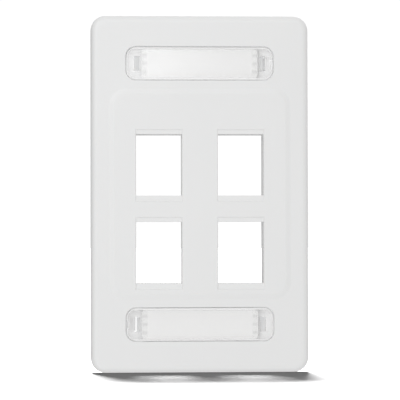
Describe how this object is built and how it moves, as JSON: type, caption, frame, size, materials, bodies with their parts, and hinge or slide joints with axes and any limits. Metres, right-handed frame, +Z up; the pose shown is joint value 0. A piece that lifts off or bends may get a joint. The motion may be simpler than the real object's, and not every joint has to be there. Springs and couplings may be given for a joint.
{
  "type": "keystone faceplate",
  "caption": "White wall plate for keystone jacks, with rectangular ports in a grid, and clear snap-in label covers that hide its box screws.",
  "frame": {"origin": "middle of the two box screws, on the wall plane that the rear rim rests on", "axes": "+Z up along the plate's height, +X to the right as seen from the room, +Y into the wall along the screws"},
  "size_m": [0.0698, 0.0227, 0.1142],
  "materials": {
    "white_plastic": "smooth moulded ABS with a soft sheen",
    "clear_plastic": "polished clear polycarbonate",
    "label_paper": "uncoated white card",
    "screw_steel": "zinc-plated steel"
  },
  "bodies": {
    "plate": {"faceplate": "white_plastic", "upper_mounting_screw": "screw_steel", "lower_mounting_screw": "screw_steel"},
    "upper_window": {"upper_label_cover": "clear_plastic", "upper_label_strip": "label_paper"},
    "lower_window": {"lower_label_cover": "clear_plastic", "lower_label_strip": "label_paper"}
  },
  "joints": [
    {"name": "upper_cover_swing", "type": "hinge", "parent": "plate", "child": "upper_window", "pos_m": [-0.0235, -0.00605, 0.04167], "axis": [0, 0, -1], "range_deg": [0, 30]},
    {"name": "lower_cover_swing", "type": "hinge", "parent": "plate", "child": "lower_window", "pos_m": [0.0235, -0.00605, -0.04167], "axis": [0, 0, 1], "range_deg": [0, 30]}
  ]
}
